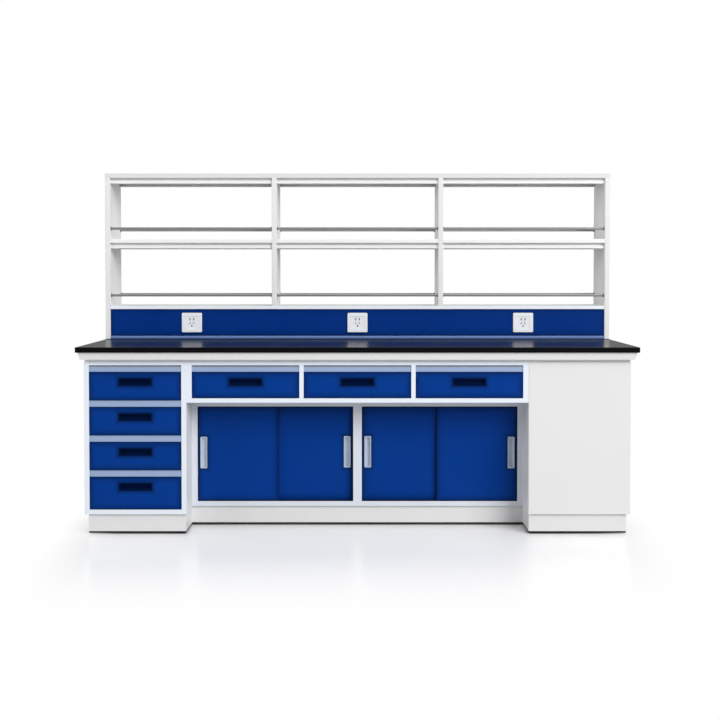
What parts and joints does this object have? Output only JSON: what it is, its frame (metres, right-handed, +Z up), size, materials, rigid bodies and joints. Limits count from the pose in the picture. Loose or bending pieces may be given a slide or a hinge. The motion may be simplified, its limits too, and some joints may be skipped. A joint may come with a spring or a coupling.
{
  "type": "lab bench with reagent shelf",
  "caption": "Steel side bench with a black slab top, a drawer pedestal, apron drawers over sliding-door cabinets, a closed unit and a rear reagent rack with a socket strip.",
  "frame": {"origin": "on the floor, under the centre of the bench's length and depth", "axes": "+X along the bench to the user's right, -Y out of the front, +Z up"},
  "size_m": [2.52, 0.75, 1.679],
  "materials": {
    "white_steel": "smooth white powder coat on sheet steel",
    "blue_steel": "smooth deep blue powder coat on sheet steel",
    "black_resin": "polished black solid resin slab",
    "zinc_steel": "zinc-plated steel",
    "trim_metal": "satin blue-grey lacquered trim",
    "rail_steel": "satin steel bar",
    "dark_plastic": "black moulded plastic",
    "grey_plastic": "grey moulded plastic",
    "track_plastic": "pale extruded plastic",
    "white_plastic": "white moulded plastic"
  },
  "bodies": {
    "bench": {"worktop": "black_resin", "support_rails": "white_steel", "support_crossbars": "white_steel", "pedestal_carcass": "white_steel", "apron_front_frame": "white_steel", "apron_case": "white_steel", "apron_inner_frame": "white_steel", "cabinet_left": "white_steel", "cabinet_right": "white_steel", "cabinet_shelves": "white_steel", "blank_unit_casing": "white_steel", "blank_unit_chassis": "white_steel", "plinth_panels": "white_steel", "levelling_feet": "zinc_steel", "recess_strips": "trim_metal", "door_tracks": "track_plastic", "pedestal_runner_rails": "zinc_steel", "apron_runner_rails": "zinc_steel", "rack_end_left": "white_steel", "rack_post_left": "white_steel", "rack_post_right": "white_steel", "rack_end_right": "white_steel", "rack_top_board": "white_steel", "rack_mid_boards": "white_steel", "rack_beams": "white_steel", "guard_rails": "rail_steel", "guard_rail_cups": "dark_plastic", "raceway_housing": "white_steel", "raceway_panel": "blue_steel", "socket_plates": "white_plastic", "socket_back_boxes": "zinc_steel"},
    "pedestal_drawer_1": {"pedestal_drawer_1_front": "blue_steel", "pedestal_drawer_1_box": "white_steel", "pedestal_drawer_1_pull": "dark_plastic"},
    "pedestal_drawer_2": {"pedestal_drawer_2_front": "blue_steel", "pedestal_drawer_2_box": "white_steel", "pedestal_drawer_2_pull": "dark_plastic"},
    "pedestal_drawer_3": {"pedestal_drawer_3_front": "blue_steel", "pedestal_drawer_3_box": "white_steel", "pedestal_drawer_3_pull": "dark_plastic"},
    "pedestal_drawer_4": {"pedestal_drawer_4_front": "blue_steel", "pedestal_drawer_4_box": "white_steel", "pedestal_drawer_4_pull": "dark_plastic"},
    "apron_drawer_left": {"apron_drawer_left_front": "blue_steel", "apron_drawer_left_box": "white_steel", "apron_drawer_left_pull": "dark_plastic"},
    "apron_drawer_centre": {"apron_drawer_centre_front": "blue_steel", "apron_drawer_centre_box": "white_steel", "apron_drawer_centre_pull": "dark_plastic"},
    "apron_drawer_right": {"apron_drawer_right_front": "blue_steel", "apron_drawer_right_box": "white_steel", "apron_drawer_right_pull": "dark_plastic"},
    "door_left_outer": {"door_left_outer_panel": "blue_steel", "door_left_outer_pull": "grey_plastic"},
    "door_left_inner": {"door_left_inner_panel": "blue_steel", "door_left_inner_pull": "grey_plastic"},
    "door_right_outer": {"door_right_outer_panel": "blue_steel", "door_right_outer_pull": "grey_plastic"},
    "door_right_inner": {"door_right_inner_panel": "blue_steel", "door_right_inner_pull": "grey_plastic"}
  },
  "joints": [
    {"name": "pedestal_drawer_1_slide", "type": "slide", "parent": "bench", "child": "pedestal_drawer_1", "axis": [0, -1, 0], "range_m": [0, 0.4]},
    {"name": "pedestal_drawer_2_slide", "type": "slide", "parent": "bench", "child": "pedestal_drawer_2", "axis": [0, -1, 0], "range_m": [0, 0.4]},
    {"name": "pedestal_drawer_3_slide", "type": "slide", "parent": "bench", "child": "pedestal_drawer_3", "axis": [0, -1, 0], "range_m": [0, 0.4]},
    {"name": "pedestal_drawer_4_slide", "type": "slide", "parent": "bench", "child": "pedestal_drawer_4", "axis": [0, -1, 0], "range_m": [0, 0.4]},
    {"name": "apron_drawer_left_slide", "type": "slide", "parent": "bench", "child": "apron_drawer_left", "axis": [0, -1, 0], "range_m": [0, 0.4]},
    {"name": "apron_drawer_centre_slide", "type": "slide", "parent": "bench", "child": "apron_drawer_centre", "axis": [0, -1, 0], "range_m": [0, 0.4]},
    {"name": "apron_drawer_right_slide", "type": "slide", "parent": "bench", "child": "apron_drawer_right", "axis": [0, -1, 0], "range_m": [0, 0.4]},
    {"name": "door_left_outer_slide", "type": "slide", "parent": "bench", "child": "door_left_outer", "axis": [1, 0, 0], "range_m": [0, 0.3488]},
    {"name": "door_left_inner_slide", "type": "slide", "parent": "bench", "child": "door_left_inner", "axis": [-1, 0, 0], "range_m": [0, 0.3488]},
    {"name": "door_right_outer_slide", "type": "slide", "parent": "bench", "child": "door_right_outer", "axis": [-1, 0, 0], "range_m": [0, 0.3488]},
    {"name": "door_right_inner_slide", "type": "slide", "parent": "bench", "child": "door_right_inner", "axis": [1, 0, 0], "range_m": [0, 0.3488]}
  ]
}
